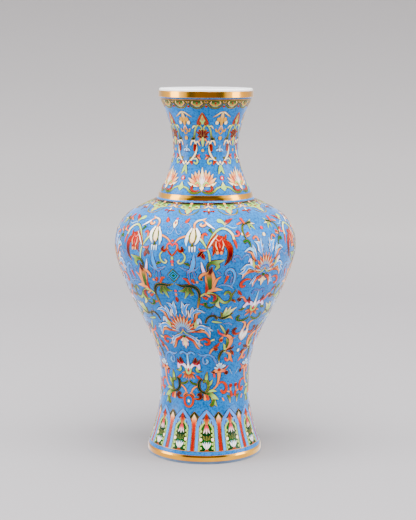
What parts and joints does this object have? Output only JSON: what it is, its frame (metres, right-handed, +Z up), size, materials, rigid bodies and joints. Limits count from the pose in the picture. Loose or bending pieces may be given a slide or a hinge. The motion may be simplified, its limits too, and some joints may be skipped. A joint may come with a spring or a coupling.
{
  "type": "cloisonne vase",
  "caption": "Baluster vase with a flared neck: blue cloisonne enamel with lotus scrolls on copper, gilt lip, collar and foot rings, white enamel lining.",
  "frame": {"origin": "centre of the foot on the surface that the vase stands on", "axes": "+Z up along the vase's axis; the front faces -Y, with a lower lotus flower 20 degrees to its left"},
  "size_m": [0.1882, 0.1881, 0.382],
  "materials": {
    "gilt": "polished gilt",
    "gilt_wire": "polished gilt wire, ground flush",
    "copper": "raw hammered copper",
    "silver_solder": "dull solder",
    "blue_enamel": "polished glossy enamel",
    "white_enamel": "glossy white enamel",
    "pale_green_enamel": "glossy enamel",
    "dark_green_enamel": "glossy enamel",
    "red_enamel": "glossy enamel",
    "peach_enamel": "glossy enamel",
    "sky_enamel": "glossy enamel",
    "orange_enamel": "glossy enamel",
    "pink_enamel": "glossy enamel",
    "cobalt_enamel": "glossy enamel"
  },
  "bodies": {
    "root": {"base_enamel": "blue_enamel", "base_plate": "copper", "base_solder_fillet": "silver_solder", "belly_shell": "copper", "belly_solder_seam": "silver_solder", "body_ground_enamel": "blue_enamel", "collar_ring": "gilt", "foot_border_wire": "gilt_wire", "foot_chevrons": "dark_green_enamel", "foot_inner_enamel": "blue_enamel", "foot_lappet_bars": "red_enamel", "foot_lappet_panels": "pale_green_enamel", "foot_rim_enamel": "blue_enamel", "foot_ring": "gilt", "foot_shell": "copper", "foot_strip_enamel": "blue_enamel", "fret_lozenges": "dark_green_enamel", "inner_body_enamel": "white_enamel", "inner_floor_enamel": "white_enamel", "inner_neck_enamel": "white_enamel", "lip_border_wire": "gilt_wire", "lip_pearls": "red_enamel", "lip_ring": "gilt", "lip_ruyi_heads": "pale_green_enamel", "lip_strip_enamel": "blue_enamel", "lower_lotus_flowers": "sky_enamel", "neck_ground_enamel": "blue_enamel", "neck_lotus_flowers": "peach_enamel", "neck_palmettes": "red_enamel", "neck_pendants": "peach_enamel", "neck_shell": "copper", "neck_solder_seam": "silver_solder", "neck_spades": "red_enamel", "scroll_bats": "red_enamel", "shoulder_florets": "red_enamel", "shoulder_ruyi_heads": "pale_green_enamel", "shoulder_shell": "copper", "upper_lotus_flowers": "sky_enamel", "waist_solder_seam": "silver_solder", "white_lip": "white_enamel"}
  },
  "joints": []
}
